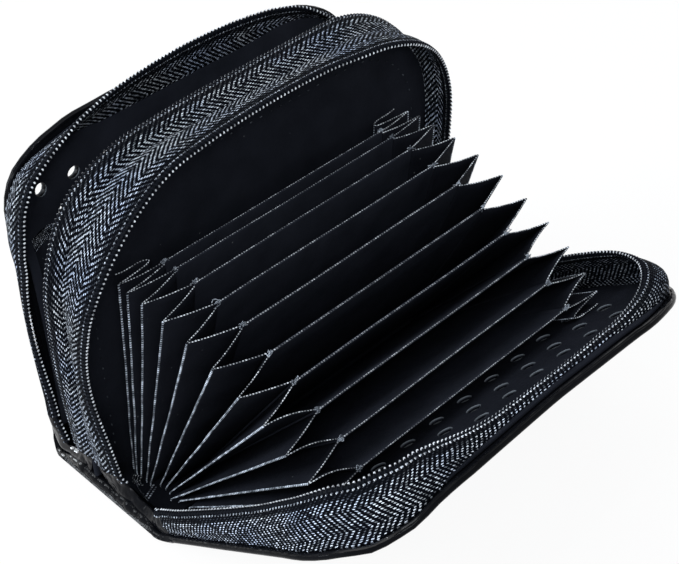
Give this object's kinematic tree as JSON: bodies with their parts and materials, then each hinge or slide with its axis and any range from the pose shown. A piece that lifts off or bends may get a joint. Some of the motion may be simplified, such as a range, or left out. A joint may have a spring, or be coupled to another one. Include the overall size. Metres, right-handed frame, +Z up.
{
  "type": "zip card wallet",
  "caption": "Small zip wallet standing open on its spine: bellows of card pockets between a stiff partition and a front cover, with a slim rear compartment and punched covers.",
  "frame": {"origin": "middle of the spine's flat underside", "axes": "+X from the rear cover to the front cover, +Y along the spine, +Z up from the surface it stands on"},
  "size_m": [0.1173, 0.1292, 0.0838],
  "materials": {
    "leather": "glossy",
    "lining": "matt woven",
    "zip_tape": "herringbone weave",
    "zip_coil": "satin nylon",
    "slider_metal": "gloss black"
  },
  "bodies": {
    "spine_and_partition": {"spine_leather": "leather", "spine_lining": "lining", "partition_panel": "lining", "partition_card_zip_tape": "zip_tape", "partition_card_zip_coil": "zip_coil", "partition_cash_zip_tape": "zip_tape", "partition_cash_zip_coil": "zip_coil", "card_zip_end_near": "zip_tape", "card_zip_end_far": "zip_tape", "cash_zip_end_near": "zip_tape", "cash_zip_end_far": "zip_tape", "card_zip_slider": "slider_metal", "cash_zip_slider": "slider_metal"},
    "front_unit": {"front_cover_leather": "leather", "front_cover_lining": "lining", "front_cover_zip_tape": "zip_tape", "front_cover_zip_coil": "zip_coil", "gusset_near_10": "lining", "gusset_far_10": "lining"},
    "rear_unit": {"rear_cover_leather": "leather", "rear_cover_lining": "lining", "rear_cover_zip_tape": "zip_tape", "rear_cover_zip_coil": "zip_coil", "cash_gusset_near": "lining", "cash_gusset_far": "lining"},
    "pocket_wall_01": {"divider_01": "lining", "gusset_near_00": "lining", "gusset_far_00": "lining"},
    "pocket_wall_02": {"divider_02": "lining", "gusset_near_01": "lining", "gusset_far_01": "lining"},
    "pocket_wall_03": {"divider_03": "lining", "gusset_near_02": "lining", "gusset_far_02": "lining"},
    "pocket_wall_04": {"divider_04": "lining", "gusset_near_03": "lining", "gusset_far_03": "lining"},
    "pocket_wall_05": {"divider_05": "lining", "gusset_near_04": "lining", "gusset_far_04": "lining"},
    "pocket_wall_06": {"divider_06": "lining", "gusset_near_05": "lining", "gusset_far_05": "lining"},
    "pocket_wall_07": {"divider_07": "lining", "gusset_near_06": "lining", "gusset_far_06": "lining"},
    "pocket_wall_08": {"divider_08": "lining", "gusset_near_07": "lining", "gusset_far_07": "lining"},
    "pocket_wall_09": {"divider_09": "lining", "gusset_near_08": "lining", "gusset_far_08": "lining"},
    "pocket_wall_10": {"divider_10": "lining", "gusset_near_09": "lining", "gusset_far_09": "lining"},
    "card_pull": {"card_zip_pull": "slider_metal"},
    "cash_pull": {"cash_zip_pull": "slider_metal"}
  },
  "joints": [
    {"name": "front_cover_hinge", "type": "hinge", "parent": "spine_and_partition", "child": "front_unit", "pos_m": [0.01962, 0, 0.001], "axis": [0, -1, 0], "range_deg": [0, 57.5], "deforming": ["gusset_near_10", "gusset_far_10"]},
    {"name": "rear_cover_hinge", "type": "hinge", "parent": "spine_and_partition", "child": "rear_unit", "pos_m": [-0.01962, 0, 0.001], "axis": [0, 1, 0], "range_deg": [0, 8], "deforming": ["cash_gusset_near", "cash_gusset_far"]},
    {"name": "divider_01_hinge", "type": "hinge", "parent": "spine_and_partition", "child": "pocket_wall_01", "pos_m": [0.00098, 0, 0.0034], "axis": [0, -1, 0], "range_deg": [0, 1.42], "deforming": ["gusset_near_00", "gusset_far_00"]},
    {"name": "divider_02_hinge", "type": "hinge", "parent": "spine_and_partition", "child": "pocket_wall_02", "pos_m": [0.00265, 0, 0.0034], "axis": [0, -1, 0], "range_deg": [0, 3.64], "deforming": ["gusset_near_01", "gusset_far_01"]},
    {"name": "divider_03_hinge", "type": "hinge", "parent": "spine_and_partition", "child": "pocket_wall_03", "pos_m": [0.00432, 0, 0.0034], "axis": [0, -1, 0], "range_deg": [0, 8.56], "deforming": ["gusset_near_02", "gusset_far_02"]},
    {"name": "divider_04_hinge", "type": "hinge", "parent": "spine_and_partition", "child": "pocket_wall_04", "pos_m": [0.006, 0, 0.0034], "axis": [0, -1, 0], "range_deg": [0, 14.79], "deforming": ["gusset_near_03", "gusset_far_03"]},
    {"name": "divider_05_hinge", "type": "hinge", "parent": "spine_and_partition", "child": "pocket_wall_05", "pos_m": [0.00766, 0, 0.0034], "axis": [0, -1, 0], "range_deg": [0, 21.41], "deforming": ["gusset_near_04", "gusset_far_04"]},
    {"name": "divider_06_hinge", "type": "hinge", "parent": "spine_and_partition", "child": "pocket_wall_06", "pos_m": [0.00933, 0, 0.0034], "axis": [0, -1, 0], "range_deg": [0, 28.73], "deforming": ["gusset_near_05", "gusset_far_05"]},
    {"name": "divider_07_hinge", "type": "hinge", "parent": "spine_and_partition", "child": "pocket_wall_07", "pos_m": [0.011, 0, 0.0034], "axis": [0, -1, 0], "range_deg": [0, 35.75], "deforming": ["gusset_near_06", "gusset_far_06"]},
    {"name": "divider_08_hinge", "type": "hinge", "parent": "spine_and_partition", "child": "pocket_wall_08", "pos_m": [0.01268, 0, 0.0034], "axis": [0, -1, 0], "range_deg": [0, 42.38], "deforming": ["gusset_near_07", "gusset_far_07"]},
    {"name": "divider_09_hinge", "type": "hinge", "parent": "spine_and_partition", "child": "pocket_wall_09", "pos_m": [0.01435, 0, 0.0034], "axis": [0, -1, 0], "range_deg": [0, 49], "deforming": ["gusset_near_08", "gusset_far_08"]},
    {"name": "divider_10_hinge", "type": "hinge", "parent": "spine_and_partition", "child": "pocket_wall_10", "pos_m": [0.01602, 0, 0.0034], "axis": [0, -1, 0], "range_deg": [0, 55.42], "deforming": ["gusset_near_09", "gusset_far_09"]},
    {"name": "card_pull_swing", "type": "hinge", "parent": "spine_and_partition", "child": "card_pull", "pos_m": [0.00785, 0.0587, 0.0092], "axis": [1, 0, 0], "range_deg": [0, 124]},
    {"name": "cash_pull_swing", "type": "hinge", "parent": "spine_and_partition", "child": "cash_pull", "pos_m": [-0.01176, 0.0587, 0.0092], "axis": [1, 0, 0], "range_deg": [0, 124]}
  ],
  "couplings": [
    {"joint": "divider_01_hinge", "follows": "front_cover_hinge", "ratio": 0.02435},
    {"joint": "divider_02_hinge", "follows": "front_cover_hinge", "ratio": 0.063},
    {"joint": "divider_03_hinge", "follows": "front_cover_hinge", "ratio": 0.1486},
    {"joint": "divider_04_hinge", "follows": "front_cover_hinge", "ratio": 0.25681},
    {"joint": "divider_05_hinge", "follows": "front_cover_hinge", "ratio": 0.37198},
    {"joint": "divider_06_hinge", "follows": "front_cover_hinge", "ratio": 0.49932},
    {"joint": "divider_07_hinge", "follows": "front_cover_hinge", "ratio": 0.62145},
    {"joint": "divider_08_hinge", "follows": "front_cover_hinge", "ratio": 0.73662},
    {"joint": "divider_09_hinge", "follows": "front_cover_hinge", "ratio": 0.85179},
    {"joint": "divider_10_hinge", "follows": "front_cover_hinge", "ratio": 0.96348}
  ]
}
